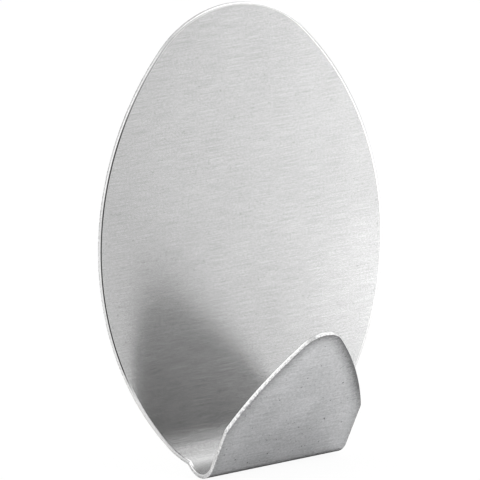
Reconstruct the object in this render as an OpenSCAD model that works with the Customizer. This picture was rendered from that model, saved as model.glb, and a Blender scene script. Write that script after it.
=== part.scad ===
// Adhesive wall hook: a brushed steel oval, folded at its foot into a forward-leaning tongue,
// on a foam pad with two coats of adhesive and a release liner.
// X runs across the plate, Z up it, and +Y into the wall. The wall's face is the plane y = 0.

/* [Plate] */
// Width of the oval plate
plate_w = 47; // [43:0.5:52]
// Height of the oval blank, measured flat, as if its lower end were not folded
plate_h = 70.5; // [68:0.5:76]
// Radius of the oval's two ends
plate_end_r = 16; // [14:0.5:18]
// Thickness of the steel sheet
sheet_t = 0.7; // [0.5:0.05:1.2]

/* [Hook] */
// Width of the strip that folds forward
strip_w = 22.5; // [18:0.5:25]
// Depth of the fold's axis below the oval's centre
fold_drop = 27.4; // [26:0.2:28.4]
// Inner radius of the fold
fold_r = 3.8; // [3:0.1:5]
// Lean of the tongue away from upright, in degrees
tongue_lean = 35; // [20:1:50]
// Length of the tongue from the end of the fold to its tip
tongue_l = 25.5; // [22:0.5:32]
// Length of the tongue's parallel sides, up to the shoulders
tongue_straight = 8; // [5:0.5:11]
// Radius that softens each shoulder
shoulder_r = 2; // [1:0.25:3]
// Radius of the tongue's curved sides, from shoulder to tip
tongue_side_r = 56; // [40:1:90]
// Radius of the tongue's tip
tip_r = 3.8; // [3:0.1:5]

/* [Pad] */
// Inset of the pad from the plate's rim, at its sides and top
pad_inset = 2; // [1:0.25:4]
// Flat steel left bare between the pad and the fold
pad_clear = 1; // [0.5:0.25:4]
// Thickness of the foam core
foam_t = 1; // [0.6:0.1:2]
// Thickness of each coat of adhesive
glue_t = 0.1; // [0.05:0.05:0.2]
// Thickness of the release liner
liner_t = 0.1; // [0.05:0.05:0.2]

/* [Hidden] */
// Straight steps in each arc of an outline
side_steps = 24;
end_steps = 28;
wrap_steps = 10;
fold_steps = 36;
shoulder_steps = 6;

// Half sizes of the plate and the strip
half_w = plate_w / 2;
half_h = plate_h / 2;
half_strip = strip_w / 2;

// Depths out from the wall, where minus Y points into the room
pad_t = foam_t + 2 * glue_t;
plate_y = -pad_t;
fold_y = plate_y - sheet_t - fold_r;
fold_z = -fold_drop;

// Length by which cutting shapes run past the sheet, and their reach round the fold's axis
spare = 2 * sheet_t;
fold_reach = fold_r + spare;

// The pad is a smaller oval on the flat steel above the fold
pad_half_w = half_w - pad_inset;
pad_top = half_h - pad_inset;
pad_foot = pad_clear - fold_drop;
pad_half_h = (pad_top - pad_foot) / 2;
pad_mid = (pad_top + pad_foot) / 2;
pad_end_r = plate_end_r - pad_inset;

// Points of an arc about a centre, after its first point, so that arcs can follow each other
function arc(centre, radius, from, to, steps) =
    [for (i = [1 : steps])
        let (a = from + (to - from) * i / steps)
        centre + radius * [cos(a), sin(a)]];

// Adds the mirror image of an edge that ends on the centre line
function both_sides(edge) =
    concat(edge, [for (i = [len(edge) - 2 : -1 : 0]) [-edge[i].x, edge[i].y]]);

// An oval of four arcs: radius of its long sides, and the angle at which they meet the ends
function side_radius(a, b, r) = (a * a + (b - r) * (b - r) - r * r) / (2 * (a - r));
function join_angle(a, b, r) = atan2(b - r, side_radius(a, b, r) - a);

function oval(a, b, r) =
    let (side = side_radius(a, b, r), join = join_angle(a, b, r))
    concat(
        arc([a - side, 0], side, -join, join, side_steps),
        arc([0, b - r], r, join, 180 - join, end_steps),
        arc([side - a, 0], side, 180 - join, 180 + join, side_steps),
        arc([0, r - b], r, 180 + join, 360 - join, end_steps));

// The plate's oval, its right-hand rim at a flat distance below the centre, and the distance at which
// it has narrowed to the strip
plate_side_r = side_radius(half_w, half_h, plate_end_r);
plate_join = join_angle(half_w, half_h, plate_end_r);
end_z = half_h - plate_end_r;
function rim(drop) =
    [drop < plate_side_r * sin(plate_join)
        ? sqrt(pow(plate_side_r, 2) - pow(drop, 2)) + half_w - plate_side_r
        : sqrt(max(0, pow(plate_end_r, 2) - pow(drop - end_z, 2))),
     -drop];
kink_drop = half_strip < plate_end_r * cos(plate_join)
    ? end_z + sqrt(pow(plate_end_r, 2) - pow(half_strip, 2))
    : sqrt(pow(plate_side_r, 2) - pow(half_strip + plate_side_r - half_w, 2));

// Front view of the plate. Its foot wraps round the fold as far as the strip, with the flat distances
// laid round the middle of the sheet
wrap_r = fold_r + sheet_t / 2;
function wrapped(drop) =
    [rim(drop).x, fold_z - wrap_r * sin((drop - fold_drop) / wrap_r * 180 / PI)];
plate_outline = both_sides(concat(
    [for (i = [wrap_steps : -1 : 1]) wrapped(fold_drop + (kink_drop - fold_drop) * i / wrap_steps)],
    [for (i = [side_steps : -1 : 0]) rim(fold_drop * i / side_steps)],
    arc([half_w - plate_side_r, 0], plate_side_r, 0, plate_join, side_steps),
    arc([0, end_z], plate_end_r, plate_join, 90, end_steps / 2)));

// The tongue, measured up from the end of the fold: each curved side is an arc through its shoulder
// that runs smoothly into the tip, and the shoulder's corner is rounded off. Below the shoulders the
// outline runs a little past the strip's sides
tip_centre = [0, tongue_l - tip_r];
to_shoulder = [half_strip, tongue_straight] - tip_centre;
shoulder_dir = to_shoulder / norm(to_shoulder);
centre_span = tongue_side_r - tip_r;
centre_along = (pow(centre_span, 2) - pow(tongue_side_r, 2) + pow(norm(to_shoulder), 2))
    / (2 * norm(to_shoulder));
centre_aside = sqrt(pow(centre_span, 2) - pow(centre_along, 2));
side_centre = tip_centre + centre_along * shoulder_dir + centre_aside * [shoulder_dir.y, -shoulder_dir.x];
round_x = half_strip - shoulder_r;
round_rise = sqrt(pow(tongue_side_r - shoulder_r, 2) - pow(round_x - side_centre.x, 2));
round_centre = [round_x, side_centre.y + round_rise];
side_from = atan2(round_rise, round_x - side_centre.x);
side_to = atan2(tip_centre.y - side_centre.y, -side_centre.x);
shoulder = arc(round_centre, shoulder_r, 0, side_from, shoulder_steps);
past_shoulder = 2 * [half_strip, round_centre.y] - shoulder[0];
tongue_outline = both_sides(concat(
    [[past_shoulder.x, -fold_reach], past_shoulder],
    shoulder,
    arc(side_centre, tongue_side_r, side_from, side_to, side_steps),
    arc(tip_centre, tip_r, side_to, 90, end_steps / 2)));

// Side view of the bent sheet, in Y and Z: down the plate, round the fold and up the tongue. Its two
// ends run past the outlines that cut them
fold_axis = [fold_y, fold_z];
fold_turn = 180 - tongue_lean;
tongue_out = [-cos(tongue_lean), -sin(tongue_lean)];
tongue_up = [-sin(tongue_lean), cos(tongue_lean)];
sheet_profile = concat(
    [[plate_y, half_h + spare], [plate_y, fold_z]],
    arc(fold_axis, fold_r + sheet_t, 0, -fold_turn, fold_steps),
    [fold_axis + (fold_r + sheet_t) * tongue_out + (tongue_l + spare) * tongue_up,
     fold_axis + fold_r * tongue_out + (tongue_l + spare) * tongue_up,
     fold_axis + fold_r * tongue_out],
    arc(fold_axis, fold_r, -fold_turn, 0, fold_steps),
    [[plate_y - sheet_t, half_h + spare]]);

// Raises a flat outline on the wall's plane and gives it a thickness out into the room
module upright(y, thickness) {
    translate([0, y, 0])
        rotate([90, 0, 0])
            linear_extrude(thickness) children();
}

// The whole sheet, wider than any of its outlines
module bent_sheet() {
    rotate([90, 0, 90])
        linear_extrude(plate_w + spare, center = true) polygon(sheet_profile);
}

// The outlines that the blank is cut to, each square to its own stretch of the sheet: the oval with its
// wrapped foot, and the strip with the tongue's tip
module blank_outlines() {
    upright(0, -fold_y) polygon(plate_outline);
    intersection() {
        cube([strip_w, 4 * tongue_l, 4 * plate_h], center = true);
        translate([0, fold_y, fold_z])
            rotate([90 + tongue_lean, 0, 0])
                linear_extrude(2 * fold_reach, center = true) polygon(tongue_outline);
    }
}

module pad_layer(y, thickness) {
    upright(y, thickness)
        translate([0, pad_mid]) polygon(oval(pad_half_w, pad_half_h, pad_end_r));
}

module hook_plate() {
    color([0.75, 0.75, 0.74])
        intersection() {
            bent_sheet();
            blank_outlines();
        }
}

module front_adhesive() {
    color([0.88, 0.87, 0.80]) pad_layer(-glue_t - foam_t, glue_t);
}

module foam_core() {
    color([0.93, 0.93, 0.91]) pad_layer(-glue_t, foam_t);
}

module rear_adhesive() {
    color([0.88, 0.87, 0.80]) pad_layer(0, glue_t);
}

module release_liner() {
    color([0.86, 0.78, 0.60]) pad_layer(liner_t, liner_t);
}

hook_plate();
front_adhesive();
foam_core();
rear_adhesive();
release_liner();
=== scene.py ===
"""Adhesive wall hook: a folded brushed-steel sheet on a foam pad, with the pad's release liner."""

import logging
import math
from dataclasses import dataclass
from enum import Enum

import bmesh
import bpy
from mathutils import Matrix, Vector, noise


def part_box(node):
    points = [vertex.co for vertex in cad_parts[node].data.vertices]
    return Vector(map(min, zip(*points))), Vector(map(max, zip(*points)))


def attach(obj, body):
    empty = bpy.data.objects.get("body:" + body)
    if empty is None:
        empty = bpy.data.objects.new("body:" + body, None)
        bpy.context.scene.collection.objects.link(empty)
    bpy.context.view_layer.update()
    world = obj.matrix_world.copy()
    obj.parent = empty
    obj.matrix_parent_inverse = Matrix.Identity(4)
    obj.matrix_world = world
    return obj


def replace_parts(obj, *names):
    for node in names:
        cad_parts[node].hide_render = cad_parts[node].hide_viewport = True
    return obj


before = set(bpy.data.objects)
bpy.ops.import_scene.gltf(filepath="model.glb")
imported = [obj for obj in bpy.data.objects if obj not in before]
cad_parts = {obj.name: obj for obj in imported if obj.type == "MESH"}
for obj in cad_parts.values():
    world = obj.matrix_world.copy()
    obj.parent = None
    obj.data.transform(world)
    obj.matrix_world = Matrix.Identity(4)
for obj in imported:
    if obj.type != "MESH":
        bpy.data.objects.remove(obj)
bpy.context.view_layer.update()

LOG = logging.getLogger("wall_hook")

# Metres to the millimetre, axes by number, and the upward direction
MM = 0.001
AXIS_X, AXIS_Z = 0, 2
UP = Vector((0.0, 0.0, 1.0))

# What the meshes carry: the steel's flat map, the zone of each face, and values at their points
BLANK_MAP = "blank"
ZONE_ATTRIBUTE = "zone"
INSET_ATTRIBUTE = "inset"
EASE_ATTRIBUTE = "ease"
# A painted highlight inside the fold, and a painted dark reflection in the left-hand rim's roll
FOLD_HIGHLIGHT_ATTRIBUTE = "fold_highlight"
DARK_REFLECTION_ATTRIBUTE = "dark_reflection"

# The flat map: its units to the metre, and where the blank's centre lies on it
MAP_SCALE = 10.0
MAP_CENTRE = (0.5, 0.65)

# Shared patterns: each noise's octaves and the strength of its finer ones, the scale of bands against lines
# and of specks against grain, and the noise at which a speck starts and how steeply it rises
FINE_NOISE = (2.0, 0.6)
CLOUD_NOISE = (3.0, 0.55)
SPECK_NOISE = (1.0, 0.5)
BAND_SCALE = 0.35
SPECK_SCALE = 0.6
SPECK_FROM = 0.71
SPECK_RISE = 16.0

# An even mix of two tones, and the quarter turn that stretches a highlight across the brush lines
EVEN = 0.5
ACROSS_LINES = 0.25

# Meshes: how near a cutting plane a point counts as on it, the least cosine that a corner's step is divided
# by, the share of a rounding's radius by which its middle point stands in, and the slack of a zone's number
ON_PLANE = 1e-7
CORNER_COSINE = 0.5
ROUND_SHARE = 0.3
ZONE_SLACK = 0.1

# Places of a Mix node's sockets for colour: its two colours and its result
MIX_COLOURS = (6, 7)
MIX_RESULT = 2

Colour = tuple[float, float, float]
Section = list[tuple[float, float]]
Socket = bpy.types.NodeSocket


class SheetZone(Enum):
    """Stretches of the steel's surface that each have their own finish."""

    FACE = 0
    ROLLED_EDGE = 1
    BURNISHED_EDGE = 2
    TORN_EDGE = 3
    BACK = 4


class PadLayer(Enum):
    """The pad's layers, by the name of the frame's node that each stands for."""

    FRONT_ADHESIVE = "front_adhesive"
    FOAM_CORE = "foam_core"
    REAR_ADHESIVE = "rear_adhesive"
    RELEASE_LINER = "release_liner"


class Graph:
    """Adds nodes to one tree and joins them."""

    def __init__(self, tree: bpy.types.NodeTree) -> None:
        """Keeps the tree that the nodes go into."""
        self.tree = tree

    def node(self, kind: str, **settings: object) -> bpy.types.Node:
        """Adds a node.

        Args:
            kind: The node's type name.
            settings: Properties to set on it.

        Returns:
            The new node.
        """
        made = self.tree.nodes.new(kind)
        for name, value in settings.items():
            setattr(made, name, value)
        return made

    def feed(self, socket: Socket, value: object) -> None:
        """Links another socket to this one, or sets its constant.

        Args:
            socket: The input to fill.
            value: A socket to link from, or a constant.
        """
        if isinstance(value, Socket):
            self.tree.links.new(value, socket)
        else:
            socket.default_value = value

    def math(self, operation: str, *values: object, clamp: bool = False) -> Socket:
        """Adds a math node.

        Args:
            operation: The node's operation.
            values: Sockets or numbers for its inputs.
            clamp: Whether the result is kept from 0 to 1.

        Returns:
            The result's socket.
        """
        made = self.node("ShaderNodeMath", operation=operation, use_clamp=clamp)
        for socket, value in zip(made.inputs, values):
            self.feed(socket, value)
        return made.outputs[0]

    def around(self, value: Socket, swing: float, centre: float = 0.0) -> Socket:
        """Turns a value from 0 to 1 into one that swings about a centre.

        Args:
            value: The value to turn.
            swing: How far the result goes to either side.
            centre: The result at a value of a half.

        Returns:
            The result's socket.
        """
        return self.math("MULTIPLY_ADD", value, 2 * swing, centre - swing)

    def mix(self, share: object, low: object, high: object) -> Socket:
        """Mixes two colours.

        Args:
            share: How much of the second colour is taken.
            low: The first colour, a socket or three numbers.
            high: The second colour, likewise.

        Returns:
            The mixed colour's socket.
        """
        made = self.node("ShaderNodeMix", data_type="RGBA")
        self.feed(made.inputs[0], share)
        for place, value in zip(MIX_COLOURS, (low, high)):
            self.feed(made.inputs[place], value if isinstance(value, Socket) else (*value, 1.0))
        return made.outputs[MIX_RESULT]

    def vector(self, operation: str, *values: object) -> Socket:
        """Adds a vector math node.

        Args:
            operation: The node's operation.
            values: Sockets, vectors or a scaling's factor, for the inputs that the operation has.

        Returns:
            The result's socket.
        """
        made = self.node("ShaderNodeVectorMath", operation=operation)
        for socket, value in zip([s for s in made.inputs if s.enabled], values):
            self.feed(socket, value)
        return made.outputs[0]

    def stretched(self, vector: Socket, scales: tuple[object, object, object]) -> Socket:
        """Multiplies a vector's parts, each by its own value.

        Args:
            vector: The vector to stretch.
            scales: Sockets or numbers for X, Y and Z.

        Returns:
            The stretched vector's socket.
        """
        parts = self.node("ShaderNodeCombineXYZ")
        for socket, value in zip(parts.inputs, scales):
            self.feed(socket, value)
        return self.vector("MULTIPLY", vector, parts.outputs[0])

    def noise(self, vector: Socket, scale: object, detail: float, rough: float) -> Socket:
        """Adds a noise texture.

        Args:
            vector: Where it is read.
            scale: Its scale, a socket or a number.
            detail: Its number of octaves.
            rough: How strong the finer octaves are.

        Returns:
            The noise value's socket.
        """
        made = self.node("ShaderNodeTexNoise")
        self.feed(made.inputs["Vector"], vector)
        self.feed(made.inputs["Scale"], scale)
        self.feed(made.inputs["Detail"], detail)
        self.feed(made.inputs["Roughness"], rough)
        return made.outputs["Fac"]

    def attribute(self, name: str) -> Socket:
        """Reads a value that the mesh carries at its points."""
        return self.node("ShaderNodeAttribute", attribute_name=name).outputs["Fac"]


GroupParts = tuple[bpy.types.NodeTree, Graph, bpy.types.Node, bpy.types.Node]


def shader_group(name: str, inputs: dict[str, str], outputs: list[str]) -> GroupParts:
    """Starts a shader node group.

    Args:
        name: The group's name.
        inputs: Its inputs' names, each with its socket type.
        outputs: Its outputs' names, all plain values.

    Returns:
        The group, a graph on it, and its input and output nodes.
    """
    tree = bpy.data.node_groups.new(name, "ShaderNodeTree")
    for label, kind in inputs.items():
        tree.interface.new_socket(label, in_out="INPUT", socket_type=kind)
    for label in outputs:
        tree.interface.new_socket(label, in_out="OUTPUT", socket_type="NodeSocketFloat")
    graph = Graph(tree)
    return tree, graph, graph.node("NodeGroupInput"), graph.node("NodeGroupOutput")


def brush_lines_group() -> bpy.types.NodeTree:
    """Builds the lines that steel, adhesive and paper share: hairlines, and the bands that they gather in.

    Returns:
        The node group.
    """
    tree, graph, given, result = shader_group(
        "brush_lines",
        {"Vector": "NodeSocketVector", "Pitch": "NodeSocketFloat", "Stretch": "NodeSocketFloat"},
        ["Lines", "Bands"])
    along = graph.math("DIVIDE", given.outputs["Pitch"], given.outputs["Stretch"])
    fine = graph.stretched(given.outputs["Vector"], (along, given.outputs["Pitch"], 1.0))
    graph.feed(result.inputs["Lines"], graph.noise(fine, 1.0, *FINE_NOISE))
    graph.feed(result.inputs["Bands"], graph.noise(fine, BAND_SCALE, *FINE_NOISE))
    return tree


def mottle_group() -> bpy.types.NodeTree:
    """Builds the mottling that every finish shares: soft clouds, fine grain, and a mask of sparse specks.

    Returns:
        The node group.
    """
    tree, graph, given, result = shader_group(
        "mottle",
        {"Vector": "NodeSocketVector", "Cloud Scale": "NodeSocketFloat", "Grain Scale": "NodeSocketFloat"},
        ["Cloud", "Grain", "Specks"])
    vector, grain_scale = given.outputs["Vector"], given.outputs["Grain Scale"]
    graph.feed(result.inputs["Cloud"], graph.noise(vector, given.outputs["Cloud Scale"], *CLOUD_NOISE))
    graph.feed(result.inputs["Grain"], graph.noise(vector, grain_scale, *FINE_NOISE))
    sparse = graph.noise(vector, graph.math("MULTIPLY", grain_scale, SPECK_SCALE), *SPECK_NOISE)
    above = graph.math("SUBTRACT", sparse, SPECK_FROM)
    graph.feed(result.inputs["Specks"], graph.math("MULTIPLY", above, SPECK_RISE, clamp=True))
    return tree


GROUPS = {"brush_lines": brush_lines_group(), "mottle": mottle_group()}


class Dress:
    """One material under way: its graph, its surface shader and the places where patterns are read."""

    def __init__(self, name: str) -> None:
        """Starts the material.

        Args:
            name: The material's name.
        """
        self.material = bpy.data.materials.new(name)
        self.material.use_nodes = True
        self.graph = Graph(self.material.node_tree)
        self.shader = self.material.node_tree.nodes["Principled BSDF"]
        self.place = self.graph.node("ShaderNodeTexCoord").outputs["Object"]

    def group(self, name: str, vector: Socket, **values: float) -> bpy.types.Node:
        """Places a shared effect in the material.

        Args:
            name: The group's name.
            vector: Where its patterns are read.
            values: Its other inputs, with spaces written as underscores.

        Returns:
            The group's node.
        """
        made = self.graph.node("ShaderNodeGroup", node_tree=GROUPS[name])
        self.graph.feed(made.inputs["Vector"], vector)
        for label, value in values.items():
            made.inputs[label.replace("_", " ").title()].default_value = value
        return made

    def surface(self, **values: object) -> None:
        """Fills inputs of the surface shader, named with underscores for spaces."""
        for label, value in values.items():
            self.graph.feed(self.shader.inputs[label.replace("_", " ")], value)

    def tipped(self, tangent: Socket, along: float, up: float) -> Socket:
        """Tips the surface's normal, as one-sided brush marks and the bend's gentle start do.

        Args:
            tangent: The direction that the marks run in.
            along: The slope of the marks along themselves.
            up: The slope of the marks' broad flanks, up the sheet.

        Returns:
            The tipped normal's socket.
        """
        graph = self.graph
        normal = graph.node("ShaderNodeNewGeometry").outputs["Normal"]
        slope = graph.math("ADD", graph.attribute(EASE_ATTRIBUTE), up)
        across = graph.vector("CROSS_PRODUCT", normal, tangent)
        tipped = graph.vector("ADD", normal, graph.vector("SCALE", tangent, along))
        tipped = graph.vector("ADD", tipped, graph.vector("SCALE", across, slope))
        return graph.vector("NORMALIZE", tipped)

    def bump(self, height: Socket, depth: float, strength: float, normal: Socket | None = None) -> None:
        """Raises the surface by a height pattern.

        Args:
            height: The pattern, from 0 to 1.
            depth: What a full step of it raises, in metres.
            strength: How much of the effect is taken.
            normal: The normal that it starts from, if that isn't the surface's own.
        """
        made = self.graph.node("ShaderNodeBump")
        if normal is not None:
            self.graph.feed(made.inputs["Normal"], normal)
        made.inputs["Strength"].default_value = strength
        made.inputs["Distance"].default_value = depth
        self.graph.feed(made.inputs["Height"], height)
        self.graph.feed(self.shader.inputs["Normal"], made.outputs["Normal"])


@dataclass(frozen=True)
class RimDarkening:
    """The uneven darkening along the sheet's rim, heavier towards +X and above the tongue's shoulders.

    Its width is in millimetres. Each gain is to the metre of X or Z, and each level is the share at zero.
    """

    strength: float = 0.65
    width: float = 2.3
    side_gain: float = 50.0
    side_level: float = 0.6
    height_gain: float = 150.0
    height_level: float = 3.9
    least: float = 0.25
    fall: float = 1.7
    fall_swing: float = -0.9

    def mask(self, dress: Dress, cloud: Socket) -> Socket:
        """Works out how much darkening lies at each point.

        Args:
            dress: The material under way.
            cloud: The mottling that breaks the darkening up.

        Returns:
            The mask's socket.
        """
        graph = dress.graph
        near = graph.node("ShaderNodeMapRange")
        inset = graph.attribute(INSET_ATTRIBUTE)
        for label, value in (("Value", inset), ("From Min", self.width), ("From Max", 0.0)):
            graph.feed(near.inputs[label], value)
        parts = graph.node("ShaderNodeSeparateXYZ")
        graph.feed(parts.inputs[0], dress.place)
        x, z = parts.outputs["X"], parts.outputs["Z"]
        side = graph.math("MULTIPLY_ADD", x, self.side_gain, self.side_level, clamp=True)
        height = graph.math("MULTIPLY_ADD", z, self.height_gain, self.height_level, clamp=True)
        heavy = graph.math("MULTIPLY_ADD", graph.math("MULTIPLY", side, height), 1.0 - self.least, self.least)
        soft = graph.math("POWER", near.outputs[0], graph.around(cloud, self.fall_swing, self.fall))
        return graph.math("MULTIPLY", graph.math("MULTIPLY", soft, heavy), self.strength)


@dataclass(frozen=True)
class SteelFinish:
    """A finish of stainless sheet: hairlines over a mottled metal.

    Shares say how far each pattern pulls between the dark and the light tone. Scales are to the metre, pitch
    is to the flat map's unit, and reliefs are in millimetres. The lay is the slope of one-sided brush marks,
    along and up the sheet. The weights of the painted highlight inside the fold and of the painted dark
    reflection in the left-hand roll say how strongly the mesh's values for them show.
    """

    name: str
    dark: float
    light: float
    roughness: float
    roughness_swing: float = 0.04
    anisotropy: float = 0.0
    line_share: float = 0.05
    band_share: float = 0.05
    grain_share: float = 0.5
    cloud_share: float = 0.2
    speck: float = 0.5
    relief: float = 0.0
    grain_relief: float = 0.0
    rim_darkening: RimDarkening | None = None
    lay: tuple[float, float] | None = None
    # Painted highlight inside the fold: its weight, and the tone that it lifts the colour towards
    fold_highlight: float = 0.0
    fold_highlight_tone: Colour = (0.75, 0.75, 0.75)
    # Painted dark reflection in the left-hand roll: its weight, and the tone that it darkens the colour
    # towards
    dark_reflection: float = 0.0
    dark_reflection_tone: Colour = (0.04, 0.04, 0.04)
    tint: Colour = (1.0, 1.0, 1.0)
    pitch: float = 1000.0
    stretch: float = 60.0
    cloud_scale: float = 160.0
    grain_scale: float = 3200.0

    def material(self) -> bpy.types.Material:
        """Builds the material.

        Returns:
            The finished material.
        """
        dress = Dress(self.name)
        graph = dress.graph
        flat = graph.node("ShaderNodeUVMap", uv_map=BLANK_MAP).outputs["UV"]
        brushed = dress.group("brush_lines", flat, pitch=self.pitch, stretch=self.stretch)
        mottle = dress.group("mottle", dress.place, cloud_scale=self.cloud_scale,
                             grain_scale=self.grain_scale)
        lines, bands = brushed.outputs["Lines"], brushed.outputs["Bands"]
        cloud, grain = mottle.outputs["Cloud"], mottle.outputs["Grain"]
        share = graph.around(lines, self.line_share, EVEN)
        for value, swing in ((bands, self.band_share), (grain, self.grain_share), (cloud, self.cloud_share)):
            share = graph.math("ADD", share, graph.around(value, swing))
        share = graph.math("SUBTRACT", share, graph.math("MULTIPLY", mottle.outputs["Specks"], self.speck))
        if self.rim_darkening:
            share = graph.math("SUBTRACT", share, self.rim_darkening.mask(dress, cloud))
        share = graph.math("ADD", share, 0.0, clamp=True)
        rough = graph.around(lines, self.roughness_swing, self.roughness)
        rough = graph.math("ADD", rough, graph.around(cloud, self.roughness_swing / 2))
        dark, light = ([tone * part for part in self.tint] for tone in (self.dark, self.light))
        colour = graph.mix(share, dark, light)
        # Painted highlight inside the fold, then painted dark reflection in the left-hand roll
        for name, weight, tone in ((FOLD_HIGHLIGHT_ATTRIBUTE, self.fold_highlight, self.fold_highlight_tone),
                                   (DARK_REFLECTION_ATTRIBUTE, self.dark_reflection, self.dark_reflection_tone)):
            if weight:
                colour = graph.mix(graph.math("MULTIPLY", graph.attribute(name), weight), colour, tone)
        marks = graph.node("ShaderNodeTangent", direction_type="UV_MAP", uv_map=BLANK_MAP).outputs["Tangent"]
        dress.surface(Base_Color=colour, Metallic=1.0, Roughness=rough, Anisotropic=self.anisotropy,
                      Anisotropic_Rotation=ACROSS_LINES, Tangent=marks)
        height = graph.math("ADD", graph.math("MULTIPLY", lines, self.relief),
                            graph.math("MULTIPLY", grain, self.grain_relief))
        dress.bump(height, MM, 1.0, dress.tipped(marks, *self.lay) if self.lay else None)
        return dress.material


@dataclass(frozen=True)
class FoamFinish:
    """Closed-cell foam: pale, matt, with fine cells. Its depths are in millimetres."""

    name: str = "foam_white"
    pale: Colour = (0.84, 0.84, 0.82)
    deep: Colour = (0.62, 0.62, 0.60)
    deep_share: float = 0.35
    cloud_scale: float = 300.0
    cloud_share: float = 0.25
    cell_scale: float = 4200.0
    cell_rise: float = 2.2
    scatter: float = 0.1
    scatter_depth: float = 0.5
    roughness: float = 0.85
    relief: float = 0.05
    relief_share: float = 0.6

    def material(self) -> bpy.types.Material:
        """Builds the material.

        Returns:
            The finished material.
        """
        dress = Dress(self.name)
        graph = dress.graph
        mottle = dress.group("mottle", dress.place, cloud_scale=self.cloud_scale)
        cells = graph.node("ShaderNodeTexVoronoi", feature="DISTANCE_TO_EDGE")
        graph.feed(cells.inputs["Vector"], dress.place)
        cells.inputs["Scale"].default_value = self.cell_scale
        open_cell = graph.math("MULTIPLY", cells.outputs["Distance"], self.cell_rise, clamp=True)
        cloud = graph.around(mottle.outputs["Cloud"], self.cloud_share, self.deep_share)
        share = graph.math("ADD", cloud, open_cell, clamp=True)
        dress.surface(Base_Color=graph.mix(share, self.pale, self.deep), Roughness=self.roughness,
                      Subsurface_Weight=self.scatter, Subsurface_Scale=self.scatter_depth * MM)
        dress.bump(graph.math("SUBTRACT", 1.0, open_cell), self.relief * MM, self.relief_share)
        return dress.material


@dataclass(frozen=True)
class GlueFinish:
    """Acrylic adhesive: a glossy, slightly yellow, rippled coat. Its relief is in millimetres."""

    name: str = "adhesive_acrylic"
    pale: Colour = (0.80, 0.77, 0.66)
    deep: Colour = (0.70, 0.65, 0.50)
    cloud_scale: float = 220.0
    cloud_share: float = 0.5
    grain_scale: float = 1500.0
    grain_share: float = 0.2
    ripple_pitch: float = 420.0
    ripple_stretch: float = 14.0
    coat: float = 0.4
    coat_roughness: float = 0.1
    roughness: float = 0.18
    roughness_swing: float = 0.1
    relief: float = 0.02
    relief_share: float = 0.5

    def material(self) -> bpy.types.Material:
        """Builds the material.

        Returns:
            The finished material.
        """
        dress = Dress(self.name)
        graph = dress.graph
        mottle = dress.group("mottle", dress.place, cloud_scale=self.cloud_scale,
                             grain_scale=self.grain_scale)
        ripples = dress.group("brush_lines", dress.place, pitch=self.ripple_pitch,
                              stretch=self.ripple_stretch)
        cloud, grain = mottle.outputs["Cloud"], mottle.outputs["Grain"]
        share = graph.math("ADD", graph.around(cloud, self.cloud_share, EVEN),
                           graph.around(grain, self.grain_share), clamp=True)
        dress.surface(Base_Color=graph.mix(share, self.pale, self.deep), Coat_Weight=self.coat,
                      Coat_Roughness=self.coat_roughness,
                      Roughness=graph.around(grain, self.roughness_swing, self.roughness))
        dress.bump(graph.math("ADD", ripples.outputs["Bands"], cloud), self.relief * MM, self.relief_share)
        return dress.material


@dataclass(frozen=True)
class PaperFinish:
    """Release paper: calendered kraft with short fibres and a slight sheen. Its relief is in millimetres."""

    name: str = "liner_paper"
    pale: Colour = (0.66, 0.52, 0.34)
    deep: Colour = (0.50, 0.37, 0.22)
    fibre_pitch: float = 4200.0
    fibre_stretch: float = 9.0
    fibre_share: float = 0.45
    cloud_scale: float = 260.0
    cloud_share: float = 0.3
    grain_scale: float = 2400.0
    grain_share: float = 0.25
    speck: float = 0.5
    sheen: float = 0.05
    roughness: float = 0.5
    roughness_swing: float = 0.08
    relief: float = 0.008
    relief_share: float = 0.6

    def material(self) -> bpy.types.Material:
        """Builds the material.

        Returns:
            The finished material.
        """
        dress = Dress(self.name)
        graph = dress.graph
        upright = graph.node("ShaderNodeMapping")
        upright.inputs["Rotation"].default_value = (math.radians(90), 0.0, 0.0)
        graph.feed(upright.inputs["Vector"], dress.place)
        fibres = dress.group("brush_lines", upright.outputs["Vector"], pitch=self.fibre_pitch,
                             stretch=self.fibre_stretch).outputs["Lines"]
        mottle = dress.group("mottle", dress.place, cloud_scale=self.cloud_scale,
                             grain_scale=self.grain_scale)
        cloud, grain = mottle.outputs["Cloud"], mottle.outputs["Grain"]
        share = graph.around(fibres, self.fibre_share, self.fibre_share)
        for value, swing in ((cloud, self.cloud_share), (grain, self.grain_share)):
            share = graph.math("ADD", share, graph.around(value, swing))
        specks = graph.math("MULTIPLY", mottle.outputs["Specks"], self.speck)
        share = graph.math("ADD", share, specks, clamp=True)
        dress.surface(Base_Color=graph.mix(share, self.pale, self.deep), Sheen_Weight=self.sheen,
                      Roughness=graph.around(cloud, self.roughness_swing, self.roughness))
        dress.bump(fibres, self.relief * MM, self.relief_share)
        return dress.material


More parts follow.
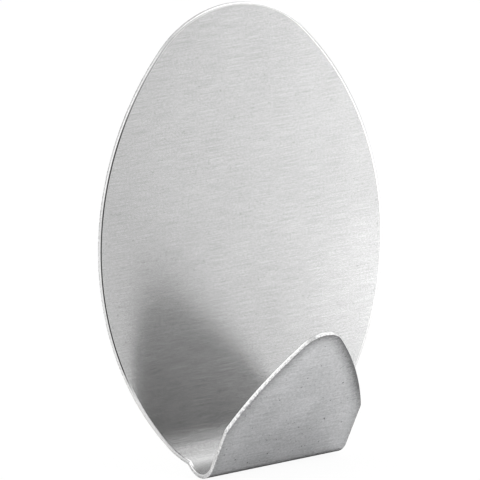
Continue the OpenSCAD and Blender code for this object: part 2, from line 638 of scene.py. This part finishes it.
STEEL = {
    SheetZone.FACE: SteelFinish(
        "steel_brushed", dark=0.235, light=0.487, roughness=0.235, roughness_swing=0.02, anisotropy=1.0,
        line_share=0.45, band_share=0.06, grain_share=0.32, cloud_share=0.08, speck=0.25, relief=0.0009,
        # The face takes a painted highlight inside the fold
        lay=(0.04, 0.06), fold_highlight=0.57, stretch=40.0),
    SheetZone.ROLLED_EDGE: SteelFinish(
        # The roll takes a painted dark reflection along the left-hand rim
        "steel_rolled_edge", dark=0.50, light=0.74, roughness=0.22, grain_relief=0.002, dark_reflection=1.0),
    SheetZone.BURNISHED_EDGE: SteelFinish(
        "steel_burnished_edge", dark=0.42, light=0.66, roughness=0.30, grain_share=1.0, grain_relief=0.003),
    SheetZone.TORN_EDGE: SteelFinish(
        "steel_torn_edge", dark=0.34, light=0.76, roughness=0.42, roughness_swing=0.08, grain_share=1.4,
        cloud_share=0.6, grain_relief=0.008),
    SheetZone.BACK: SteelFinish(
        "steel_mill", dark=0.13, light=0.775, roughness=0.38, anisotropy=0.35, line_share=0.22,
        band_share=0.11, grain_share=0.26, cloud_share=0.15, speck=0.45, relief=0.012, rim_darkening=RimDarkening(),
        tint=(0.995, 1.0, 1.015)),
}


def arc(centre: Vector, radius: float, start: float, stop: float, step: float) -> list[Vector]:
    """Points of an arc after its first point.

    Args:
        centre: The arc's centre.
        radius: Its radius.
        start: The angle at which it starts, in radians.
        stop: The angle at which it ends.
        step: The longest chord.

    Returns:
        The points, so that arcs can follow each other.
    """
    count = max(2, math.ceil(radius * abs(stop - start) / step))
    angles = [start + (stop - start) * i / count for i in range(1, count + 1)]
    return [centre + radius * Vector((math.cos(a), math.sin(a))) for a in angles]


def oval_edge(half_w: float, half_h: float, end_r: float, foot: float, step: float) -> list[Vector]:
    """The right-hand edge of an oval of four arcs, from its top to an angle on its lower end.

    Args:
        half_w: Half the oval's width.
        half_h: Half its height.
        end_r: The radius of its ends.
        foot: The angle at which the edge stops, in radians.
        step: The longest chord.

    Returns:
        The edge's points about the oval's centre.
    """
    side_r = (half_w ** 2 + (half_h - end_r) ** 2 - end_r ** 2) / (2 * (half_w - end_r))
    join = math.atan2(half_h - end_r, side_r - half_w)
    end = Vector((0.0, half_h - end_r))
    return ([Vector((0.0, half_h))]
            + arc(end, end_r, math.pi / 2, join, step)
            + arc(Vector((half_w - side_r, 0.0)), side_r, join, -join, step)
            + arc(-end, end_r, -join, foot, step))


def mirrored(edge: list[Vector]) -> list[Vector]:
    """Closes a right-hand edge that starts and ends on the centre line with its mirror image."""
    return edge + [Vector((-p.x, p.y)) for p in reversed(edge[1:-1])]


def outward(loop: list[Vector]) -> list[Vector]:
    """Outward steps at the points of a loop that runs clockwise.

    Args:
        loop: The loop's points.

    Returns:
        One vector a point, as long as a step of one needs to be at a corner.
    """
    steps = []
    for before, at, after in zip(loop[-1:] + loop[:-1], loop, loop[1:] + loop[:1]):
        sides = [Vector((-d.y, d.x)).normalized() for d in (at - before, after - at)]
        middle = (sides[0] + sides[1]).normalized()
        steps.append(middle / max(CORNER_COSINE, middle.dot(sides[0])))
    return steps


def slab(loop: list[Vector], profile: Section, zones: list[SheetZone] | None = None) -> bmesh.types.BMesh:
    """Builds a closed slab from an outline and the section of its rim.

    Args:
        loop: The outline, clockwise, in X and Z.
        profile: The rim's section from front to back: each point's inset from the outline, and its Y.
        zones: The zone of each stretch of the section, for the two faces as well, first and last.

    Returns:
        The slab's mesh, in metres.
    """
    mesh = bmesh.new()
    depth = mesh.verts.layers.float.new(INSET_ATTRIBUTE)
    zone = mesh.faces.layers.int.new(ZONE_ATTRIBUTE)
    steps = outward(loop)
    rings = []
    for inset, y in profile:
        rings.append([mesh.verts.new(Vector((p.x - s.x * inset, y, p.y - s.y * inset)) * MM)
                      for p, s in zip(loop, steps)])
        for vert in rings[-1]:
            vert[depth] = inset
    made = [(mesh.faces.new(rings[0]), 0)]
    for index, (one, two) in enumerate(zip(rings, rings[1:]), start=1):
        for k in range(len(loop)):
            made.append((mesh.faces.new((one[k - 1], one[k], two[k], two[k - 1])), index))
    made.append((mesh.faces.new(rings[-1]), len(rings)))
    for face, index in made:
        face.smooth = True
        if zones:
            face[zone] = zones[index].value
    bmesh.ops.recalc_face_normals(mesh, faces=mesh.faces[:])
    return mesh


def cut_across(mesh: bmesh.types.BMesh, axis: int, places: list[float]) -> None:
    """Cuts a mesh along planes, so that its faces become a grid.

    Args:
        mesh: The mesh to cut.
        axis: The axis that the planes are square to.
        places: Where they lie on it, in millimetres.
    """
    normal = Vector((0.0, 0.0, 0.0))
    normal[axis] = 1.0
    for place in places:
        bmesh.ops.bisect_plane(mesh, geom=mesh.verts[:] + mesh.edges[:] + mesh.faces[:], dist=ON_PLANE,
                               plane_co=normal * place * MM, plane_no=normal)


def spaced(low: float, high: float, step: float) -> list[float]:
    """Even places between two limits, without the limits."""
    count = max(1, round((high - low) / step))
    return [low + (high - low) * i / count for i in range(1, count)]


def hump(place: float, centre: float, reach: float) -> float:
    """A smooth rise to 1 at a centre, from 0 at a reach to either side."""
    return max(0.0, 1.0 - ((place - centre) / reach) ** 2) ** 2


def placed(name: str, data: bpy.types.ID) -> bpy.types.Object:
    """Adds an object to the scene.

    Args:
        name: The object's name.
        data: Its mesh, lamp or camera.

    Returns:
        The new object, at the origin.
    """
    made = bpy.data.objects.new(name, data)
    bpy.context.scene.collection.objects.link(made)
    return made


def standing(at: Vector, across: Vector, up: Vector, back: Vector) -> Matrix:
    """Where a lamp or camera stands, by its place in millimetres and the directions of its axes."""
    return Matrix.Translation(at * MM) @ Matrix((across, up, back)).transposed().to_4x4()


def finished(mesh: bmesh.types.BMesh, name: str, sharp: float = 35.0) -> bpy.types.Object:
    """Turns a mesh under way into an object of the scene.

    Args:
        mesh: The mesh, which is freed.
        name: The object's name.
        sharp: The angle from which an edge shades sharp, in degrees.

    Returns:
        The new object, at the origin.
    """
    for edge in mesh.edges:
        edge.smooth = edge.calc_face_angle(0.0) < math.radians(sharp)
    data = bpy.data.meshes.new(name)
    mesh.to_mesh(data)
    mesh.free()
    return placed(name, data)


@dataclass
class HookPlate:
    """The steel sheet: an oval plate whose foot folds forward into a leaning tongue.

    Sizes are in millimetres and angles in radians. Roll, burnish, tear, fracture and burr are the stretches
    of the blanked rim. The support, rings, chord, grid and steps set how fine the mesh is. The ease is a slope
    that shading adds where the bend starts. A painted highlight lies inside the fold, and a painted dark
    reflection in the left-hand roll.
    """

    width: float = 47.0
    height: float = 70.5
    end_r: float = 16.0
    sheet_t: float = 0.7
    strip_w: float = 22.5
    fold_drop: float = 27.4
    fold_r: float = 3.8
    lean: float = math.radians(35.0)
    tongue_l: float = 25.5
    tongue_straight: float = 8.0
    shoulder_r: float = 2.0
    tongue_side_r: float = 56.0
    tip_r: float = 3.8
    back_y: float = -1.2
    roll_w: float = 0.34
    roll_d: float = 0.17
    roll_steps: int = 7
    burnish_d: float = 0.40
    tear_d: float = 0.04
    fracture_in: float = 0.03
    burr_r: float = 0.05
    support: float = 0.12
    border_rings: tuple[float, ...] = (0.6, 1.0, 1.5, 2.4)
    chord: float = 0.5
    grid: float = 2.5
    fold_step: float = math.radians(2.5)
    ease: float = 0.32
    ease_reach: float = 2.6
    ease_step: float = 0.3
    # Where the painted highlight inside the fold lies
    fold_highlight_at: float = 6.7
    fold_highlight_reach: float = 5.2
    # Where the painted dark reflection in the left-hand roll lies
    dark_reflection_in: tuple[float, float] = (0.09, 0.30)
    dark_reflection_top: float = 34.5
    dark_reflection_top_fade: float = 16.0
    dark_reflection_foot: float = -20.0
    dark_reflection_foot_fade: float = 5.0

    @property
    def neutral_r(self) -> float:
        """Radius of the fold at the middle of the sheet."""
        return self.fold_r + self.sheet_t / 2

    @property
    def turn(self) -> float:
        """The angle that the fold turns the sheet by."""
        return math.pi - self.lean

    @property
    def front_y(self) -> float:
        """The plate's front face."""
        return self.back_y - self.sheet_t

    @property
    def fold_foot(self) -> float:
        """Height, on the flat blank, at which the fold ends and the tongue begins."""
        return -self.fold_drop - self.neutral_r * self.turn

    def tongue_edge(self) -> list[Vector]:
        """The tongue's right-hand edge, from its shoulder to its tip.

        Returns:
            Points across and up the tongue, from the end of the fold.
        """
        half_strip = self.strip_w / 2
        tip = Vector((0.0, self.tongue_l - self.tip_r))
        reach = Vector((half_strip, self.tongue_straight)) - tip
        span = self.tongue_side_r - self.tip_r
        along = (span ** 2 - self.tongue_side_r ** 2 + reach.length_squared) / (2 * reach.length)
        aside = math.sqrt(span ** 2 - along ** 2)
        way = reach.normalized()
        side = tip + along * way + aside * Vector((way.y, -way.x))
        round_x = half_strip - self.shoulder_r
        rise = math.sqrt((self.tongue_side_r - self.shoulder_r) ** 2 - (round_x - side.x) ** 2)
        shoulder = Vector((round_x, side.y + rise))
        side_from = math.atan2(rise, round_x - side.x)
        side_to = math.atan2(tip.y - side.y, -side.x)
        return ([Vector((half_strip, shoulder.y))]
                + arc(shoulder, self.shoulder_r, 0.0, side_from, self.chord)
                + arc(side, self.tongue_side_r, side_from, side_to, self.chord)
                + arc(tip, self.tip_r, side_to, math.pi / 2, self.chord))

    def outline(self) -> list[Vector]:
        """The flat blank's outline, clockwise from the top of the oval.

        Returns:
            Points in X and Z, as if the sheet weren't folded.
        """
        kink = -math.acos(self.strip_w / 2 / self.end_r)
        edge = oval_edge(self.width / 2, self.height / 2, self.end_r, kink, self.chord)
        edge += [Vector((p.x, self.fold_foot - p.y)) for p in self.tongue_edge()]
        edge[-1].x = 0.0
        return mirrored(edge)

    def rim(self) -> tuple[Section, list[SheetZone]]:
        """The blanked rim's section: a rolled front edge, a burnished band, a rougher torn band and the burr.

        Returns:
            The section's points, and the zone of each stretch.
        """
        front, back = self.front_y, self.back_y
        profile = [(inset, front) for inset in (*self.border_rings[::-1], self.roll_w + self.support)]
        zones = [SheetZone.FACE] * (len(profile) + 1)
        for i in range(self.roll_steps + 1):
            angle = math.pi / 2 * i / self.roll_steps
            profile.append((self.roll_w * (1 - math.sin(angle)), front + self.roll_d * (1 - math.cos(angle))))
        torn_from = front + self.burnish_d
        burr_middle = ROUND_SHARE * self.burr_r
        burr_in = self.fracture_in + self.burr_r
        torn = [(self.fracture_in / 2, torn_from + self.tear_d),
                (self.fracture_in, back - self.burr_r),
                (self.fracture_in + burr_middle, back - burr_middle),
                (burr_in, back)]
        profile += [(0.0, torn_from), *torn, (burr_in + self.support, back)]
        profile += [(inset, back) for inset in self.border_rings]
        zones += [SheetZone.ROLLED_EDGE] * self.roll_steps + [SheetZone.BURNISHED_EDGE]
        zones += [SheetZone.TORN_EDGE] * len(torn)
        # The back's own face, and the stretches out to the burr
        zones += [SheetZone.BACK] * (1 + len(self.border_rings) + 1)
        return profile, zones

    def rim_dark_reflection(self, at: Vector, inset: float) -> float:
        """How much painted dark reflection lies in the roll of the left-hand rim, less towards its top and
        foot.

        Args:
            at: A point of the flat blank.
            inset: How far in from the rim it is.

        Returns:
            The share, from 0 to 1.
        """
        rolled = self.dark_reflection_in[0] < inset < self.dark_reflection_in[1] and at.y <= self.front_y + self.roll_d
        if at.x > 0.0 or not rolled:
            return 0.0
        from_top = (self.dark_reflection_top - at.z) / self.dark_reflection_top_fade
        from_foot = (at.z - self.dark_reflection_foot) / self.dark_reflection_foot_fade
        return max(0.0, min(1.0, from_top, from_foot))

    def blank(self) -> bpy.types.Object:
        """Builds the flat blank, gridded, with rows close together where it will fold.

        Returns:
            The blank's object.
        """
        profile, zones = self.rim()
        mesh = slab(self.outline(), profile, zones)
        fold_top = -self.fold_drop
        count = round(self.turn / self.fold_step)
        rows = [fold_top + (self.fold_foot - fold_top) * i / count for i in range(count + 1)]
        rows += [fold_top + self.support, self.fold_foot - self.support]
        rows += spaced(fold_top, self.height / 2, self.grid)
        rows += spaced(self.fold_foot - self.tongue_l, self.fold_foot, self.grid)
        rows += spaced(fold_top, fold_top + self.ease_reach, self.ease_step)
        cut_across(mesh, AXIS_Z, rows)
        cut_across(mesh, AXIS_X, spaced(-self.width / 2, self.width / 2, self.grid))
        layers = mesh.verts.layers.float
        names = (EASE_ATTRIBUTE, FOLD_HIGHLIGHT_ATTRIBUTE, DARK_REFLECTION_ATTRIBUTE)
        ease, fold_highlight, dark_reflection = (layers.new(name) for name in names)
        for vert in mesh.verts:
            down = fold_top - vert.co.z / MM
            vert[ease] = self.ease * hump(down, 0.0, self.ease_reach)
            # Painted highlight inside the fold
            vert[fold_highlight] = hump(down, self.fold_highlight_at, self.fold_highlight_reach)
            # Painted dark reflection in the left-hand roll
            vert[dark_reflection] = self.rim_dark_reflection(vert.co / MM, vert[layers[INSET_ATTRIBUTE]])
        flat = mesh.loops.layers.uv.new(BLANK_MAP)
        for face in mesh.faces:
            for loop in face.loops:
                at = loop.vert.co
                loop[flat].uv = (MAP_CENTRE[0] + at.x * MAP_SCALE, MAP_CENTRE[1] + at.z * MAP_SCALE)
        return finished(mesh, "hook_plate_steel")

    def fold_tree(self) -> bpy.types.NodeTree:
        """Builds the geometry nodes that fold a flat sheet round an axis along X and dress its zones.

        Returns:
            The node tree.
        """
        tree = bpy.data.node_groups.new("fold_sheet", "GeometryNodeTree")
        graph = Graph(tree)
        tree.interface.new_socket("Blank", in_out="INPUT", socket_type="NodeSocketGeometry")
        for label in ("Axis Y", "Axis Z", "Neutral Radius", "Turn"):
            tree.interface.new_socket(label, in_out="INPUT", socket_type="NodeSocketFloat")
        tree.interface.new_socket("Sheet", in_out="OUTPUT", socket_type="NodeSocketGeometry")
        given, result = graph.node("NodeGroupInput").outputs, graph.node("NodeGroupOutput")
        at = graph.node("ShaderNodeSeparateXYZ")
        graph.feed(at.inputs[0], graph.node("GeometryNodeInputPosition").outputs[0])
        down = graph.math("SUBTRACT", given["Axis Z"], at.outputs["Z"])
        angle = graph.math("DIVIDE", down, given["Neutral Radius"])
        angle = graph.math("MINIMUM", graph.math("MAXIMUM", angle, 0.0), given["Turn"])
        past = graph.math("SUBTRACT", down, graph.math("MULTIPLY", angle, given["Neutral Radius"]))
        radius = graph.math("SUBTRACT", at.outputs["Y"], given["Axis Y"])
        cosine, sine = graph.math("COSINE", angle), graph.math("SINE", angle)
        out = graph.math("SUBTRACT", graph.math("MULTIPLY", radius, cosine),
                         graph.math("MULTIPLY", past, sine))
        fall = graph.math("ADD", graph.math("MULTIPLY", radius, sine),
                          graph.math("MULTIPLY", past, cosine))
        place = graph.node("ShaderNodeCombineXYZ")
        graph.feed(place.inputs["X"], at.outputs["X"])
        graph.feed(place.inputs["Y"], graph.math("ADD", given["Axis Y"], out))
        graph.feed(place.inputs["Z"], graph.math("SUBTRACT", given["Axis Z"], fall))
        bent = graph.node("GeometryNodeSetPosition")
        graph.feed(bent.inputs["Geometry"], given["Blank"])
        graph.feed(bent.inputs["Position"], place.outputs[0])
        realized = graph.node("GeometryNodeRealizeInstances")
        graph.feed(realized.inputs[0], bent.outputs[0])
        sheet = realized.outputs[0]
        zone = graph.node("GeometryNodeInputNamedAttribute", data_type="INT")
        zone.inputs["Name"].default_value = ZONE_ATTRIBUTE
        for member in SheetZone:
            chosen = graph.math("COMPARE", zone.outputs[0], float(member.value), ZONE_SLACK)
            dressed = graph.node("GeometryNodeSetMaterial")
            dressed.inputs["Material"].default_value = STEEL[member].material()
            graph.feed(dressed.inputs["Geometry"], sheet)
            graph.feed(dressed.inputs["Selection"], chosen)
            sheet = dressed.outputs[0]
        graph.feed(result.inputs["Sheet"], sheet)
        return tree

    def build(self) -> bpy.types.Object:
        """Folds the blank into the finished hook plate.

        Returns:
            The hook plate, riding on the hook's body.
        """
        piece = self.blank()
        tree = self.fold_tree()
        values = {"Axis Y": (self.front_y - self.fold_r) * MM, "Axis Z": -self.fold_drop * MM,
                  "Neutral Radius": self.neutral_r * MM, "Turn": self.turn}
        fold = piece.modifiers.new("fold", "NODES")
        fold.node_group = tree
        for item in tree.interface.items_tree:
            if item.in_out == "INPUT" and item.name in values:
                fold[item.identifier] = values[item.name]
        evaluated = piece.evaluated_get(bpy.context.evaluated_depsgraph_get())
        folded = bpy.data.meshes.new_from_object(evaluated)
        piece.modifiers.remove(fold)
        piece.data = folded
        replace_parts(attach(piece, "hook"), "hook_plate")
        return piece


@dataclass
class MountingPad:
    """The pad's layers and its liner, each as thick and as wide as the frame says.

    Sizes are in millimetres, and the foam's cells are to the metre. The seam is what each face stands back.
    """

    end_r: float = 14.0
    chord: float = 0.6
    grid: float = 3.0
    edge_r: float = 0.03
    face_in: float = 0.17
    foam_draw_in: float = 0.10
    foam_ragged: float = 0.05
    foam_cells: float = 2500.0
    foam_rows: int = 6
    seam: float = 0.004

    def outline(self, layer: PadLayer) -> tuple[list[Vector], float, float]:
        """A layer's outline and its two faces.

        Args:
            layer: The layer.

        Returns:
            The outline in X and Z, clockwise, and the Y of its front and back.
        """
        low, high = (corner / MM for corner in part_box(layer.value))
        half_w, half_h = (high.x - low.x) / 2, (high.z - low.z) / 2
        middle = Vector((0.0, (low.z + high.z) / 2))
        edge = [middle + p for p in oval_edge(half_w, half_h, self.end_r, -math.pi / 2, self.chord)]
        edge[-1].x = 0.0
        return mirrored(edge), low.y, high.y

    def section(self, layer: PadLayer, front: float, back: float) -> Section:
        """The section of a layer's rim, from front to back.

        Args:
            layer: The layer.
            front: The Y of its front.
            back: The Y of its back.

        Returns:
            Each point's inset and Y.
        """
        front, back = front + self.seam, back - self.seam
        if layer is PadLayer.FOAM_CORE:
            rows = [i / self.foam_rows for i in range(self.foam_rows + 1)]
            side = [(self.foam_ragged + self.foam_draw_in * math.sin(math.pi * t), front + (back - front) * t)
                    for t in rows]
        else:
            middle = ROUND_SHARE * self.edge_r
            side = [(middle, front + middle), (0.0, front + self.edge_r),
                    (0.0, back - self.edge_r), (middle, back - middle)]
        return [(self.face_in, front), (self.edge_r + side[0][0], front), *side,
                (self.edge_r + side[-1][0], back), (self.face_in, back)]

    def layer(self, layer: PadLayer, finish: FoamFinish | GlueFinish | PaperFinish) -> bpy.types.Object:
        """Builds one layer.

        Args:
            layer: The layer.
            finish: Its finish.

        Returns:
            The layer's object, not riding on a body yet.
        """
        loop, front, back = self.outline(layer)
        mesh = slab(loop, self.section(layer, front, back))
        low, high = (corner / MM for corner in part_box(layer.value))
        cut_across(mesh, AXIS_X, spaced(low.x, high.x, self.grid))
        cut_across(mesh, AXIS_Z, spaced(low.z, high.z, self.grid))
        if layer is PadLayer.FOAM_CORE:
            self.ragged(mesh, front, back)
        piece = finished(mesh, layer.value + "_layer")
        piece.data.materials.append(finish.material())
        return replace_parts(piece, layer.value)

    def ragged(self, mesh: bmesh.types.BMesh, front: float, back: float) -> None:
        """Gives the foam's cut side its torn cells.

        Args:
            mesh: The foam's mesh.
            front: The Y of its front.
            back: The Y of its back.
        """
        for vert in mesh.verts:
            if front + 2 * self.seam < vert.co.y / MM < back - 2 * self.seam:
                side = Vector((vert.normal.x, 0.0, vert.normal.z)).normalized()
                vert.co += side * noise.noise(vert.co * self.foam_cells) * self.foam_ragged * MM

    def build(self) -> list[bpy.types.Object]:
        """Builds the pad and the liner.

        Returns:
            The four layers, from the steel to the liner.
        """
        glue = GlueFinish()
        front = self.layer(PadLayer.FRONT_ADHESIVE, glue)
        foam = self.layer(PadLayer.FOAM_CORE, FoamFinish())
        rear = self.layer(PadLayer.REAR_ADHESIVE, glue)
        liner = self.layer(PadLayer.RELEASE_LINER, PaperFinish())
        for piece, body, slot in ((front, "hook", "adhesive"), (foam, "hook", "foam"),
                                  (rear, "hook", "adhesive"), (liner, "liner", "liner")):
            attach(piece, body)
        return [front, foam, rear, liner]


@dataclass
class Studio:
    """Floor, light and camera.

    Sizes are in millimetres, angles in degrees and powers in watts. The camera shows the aim at aim_pixel, in
    a picture that is as many pixels wide as high.
    """

    floor_z: float = -32.2
    floor_half: float = 3000.0
    floor_tone: Colour = (0.88, 0.88, 0.88)
    floor_white: float = 0.95
    floor_gloss: float = 0.05
    sheet_roughness: float = 0.9
    sheet_specular: float = 0.1
    dome: float = 0.98
    strip_from: tuple[float, float, float] = (80.0, -51.0, 2.6)
    strip_to: tuple[float, float, float] = (342.0, -402.0, 2.6)
    strip_w: float = 60.0
    strip_power: float = 0.365
    top_at: tuple[float, float, float] = (290.0, -150.0, 430.0)
    top_size: float = 900.0
    top_power: float = 2.4
    edge_at: tuple[float, float, float] = (-300.0, 110.0, 160.0)
    edge_size: float = 350.0
    edge_power: float = 0.50
    # A dark sheet under the fold, seen only in gloss: a painted contact shadow in reflections
    painted_shadow_tone: Colour = (0.08, 0.08, 0.08)
    painted_shadow_lift: float = 0.05
    painted_shadow_x: tuple[float, float] = (-11.5, 14.0)
    painted_shadow_y: tuple[float, float] = (-7.7, -4.8)
    azimuth: float = -30.31
    elevation: float = 14.17
    roll: float = 2.90
    distance: float = 1430.0
    aim: tuple[float, float, float] = (0.0, -1.9, 0.0)
    aim_pixel: tuple[float, float] = (242.5, 243.7)
    pixels: float = 480.0
    pixels_to_mm: float = 7.0
    sensor: float = 36.0
    clip: tuple[float, float] = (100.0, 20000.0)

    def sheet(self, name: str, across: tuple[float, float], deep: tuple[float, float], z: float,
              tone: Colour) -> tuple[bpy.types.Object, Dress]:
        """Lays a level sheet on the stage.

        Args:
            name: The sheet's name.
            across: Its limits in X.
            deep: Its limits in Y.
            z: Its height.
            tone: Its colour.

        Returns:
            The sheet, and its material under way.
        """
        data = bpy.data.meshes.new(name)
        data.from_pydata([(x * MM, y * MM, z * MM) for y in deep for x in across], [], [(0, 1, 3, 2)])
        laid = placed(name, data)
        dress = Dress(name)
        dress.surface(Base_Color=(*tone, 1.0), Roughness=self.sheet_roughness,
                      Specular_IOR_Level=self.sheet_specular)
        data.materials.append(dress.material)
        return laid, dress

    def floor(self) -> None:
        """Lays the pale floor, lifted towards white where the camera sees it, and a little in gloss."""
        span = (-self.floor_half, self.floor_half)
        _, dress = self.sheet("floor", span, span, self.floor_z, self.floor_tone)
        graph = dress.graph
        path = graph.node("ShaderNodeLightPath").outputs
        seen = graph.math("MAXIMUM", path["Is Camera Ray"], path["Is Transmission Ray"])
        lift = graph.math("MAXIMUM", graph.math("MULTIPLY", seen, self.floor_white),
                          graph.math("MULTIPLY", path["Is Glossy Ray"], self.floor_gloss))
        white = graph.node("ShaderNodeEmission")
        both = graph.node("ShaderNodeMixShader")
        graph.feed(both.inputs["Fac"], lift)
        graph.feed(both.inputs[1], dress.shader.outputs[0])
        graph.feed(both.inputs[2], white.outputs[0])
        graph.feed(dress.material.node_tree.nodes["Material Output"].inputs["Surface"], both.outputs[0])

    def painted_shadow(self) -> None:
        """Lays a dark sheet on the floor under the fold, a painted contact shadow that only gloss shows."""
        painted_shadow, _ = self.sheet("floor_painted_shadow", self.painted_shadow_x, self.painted_shadow_y, self.floor_z + self.painted_shadow_lift,
                             self.painted_shadow_tone)
        painted_shadow.visible_camera = painted_shadow.visible_diffuse = painted_shadow.visible_shadow = False

    def light(self) -> None:
        """Sets the dome, white to the camera and in gloss and softer as light, and three soft boxes.

        The strip at the right faces the floor. The top box lights from above at the right, and the edge box
        from behind at the left.
        """
        world = bpy.data.worlds.new("studio_dome")
        bpy.context.scene.world = world
        world.use_nodes = True
        graph = Graph(world.node_tree)
        path = graph.node("ShaderNodeLightPath").outputs
        shown = graph.math("MAXIMUM", path["Is Camera Ray"], path["Is Glossy Ray"])
        shown = graph.math("MAXIMUM", shown, path["Is Transmission Ray"])
        back = world.node_tree.nodes["Background"]
        back.inputs["Color"].default_value = (1.0, 1.0, 1.0, 1.0)
        graph.feed(back.inputs["Strength"], graph.math("MULTIPLY_ADD", shown, 1.0 - self.dome, self.dome))
        start, stop = Vector(self.strip_from), Vector(self.strip_to)
        self.lamp("strip_box", (start + stop) / 2, UP, (stop - start).normalized(),
                  ((stop - start).length, self.strip_w), self.strip_power)
        for name, place, size, power in (("top_box", self.top_at, self.top_size, self.top_power),
                                         ("edge_box", self.edge_at, self.edge_size, self.edge_power)):
            at = Vector(place)
            self.lamp(name, at, at.normalized(), at.cross(UP).normalized(), (size, size), power)

    def lamp(self, name: str, at: Vector, back: Vector, along: Vector, size: tuple[float, float],
             power: float) -> None:
        """Adds a soft box.

        Args:
            name: The lamp's name.
            at: Its centre.
            back: The direction that its back faces.
            along: The direction of its first side.
            size: Its sides.
            power: Its power in watts.
        """
        data = bpy.data.lights.new(name, "AREA")
        data.shape = "RECTANGLE"
        data.size, data.size_y = (side * MM for side in size)
        data.energy = power
        placed(name, data).matrix_world = standing(at, along, back.cross(along), back)

    def camera(self) -> None:
        """Sets the camera where the photograph was taken from."""
        a, e, r = (math.radians(angle) for angle in (self.azimuth, self.elevation, self.roll))
        back = Vector((math.sin(a) * math.cos(e), -math.cos(a) * math.cos(e), math.sin(e)))
        right = Vector((math.cos(a), math.sin(a), 0.0))
        up = back.cross(right)
        across = right * math.cos(r) - up * math.sin(r)
        upward = right * math.sin(r) + up * math.cos(r)
        field = self.pixels / self.pixels_to_mm
        aside, above = self.pixels / 2 - self.aim_pixel[0], self.aim_pixel[1] - self.pixels / 2
        shift = (across * aside + upward * above) * (field / self.pixels)
        data = bpy.data.cameras.new("camera")
        data.sensor_width = self.sensor
        data.lens = self.sensor * self.distance / field
        data.clip_start, data.clip_end = (limit * MM for limit in self.clip)
        camera = placed("camera", data)
        camera.matrix_world = standing(Vector(self.aim) + shift + back * self.distance, across, upward, back)
        bpy.context.scene.camera = camera

    def build(self) -> None:
        """Sets the stage."""
        self.floor()
        self.light()
        self.painted_shadow()
        self.camera()
        bpy.context.scene.view_settings.view_transform = "Standard"


def main() -> None:
    """Builds the hook, its pad and its liner, then the stage, and reports each piece."""
    logging.basicConfig(level=logging.INFO, format="%(name)s: %(message)s")
    pieces = [HookPlate().build(), *MountingPad().build()]
    for piece in pieces:
        LOG.info("%s: %d faces", piece.name, len(piece.data.polygons))
    Studio().build()


if __name__ == "__main__":
    main()
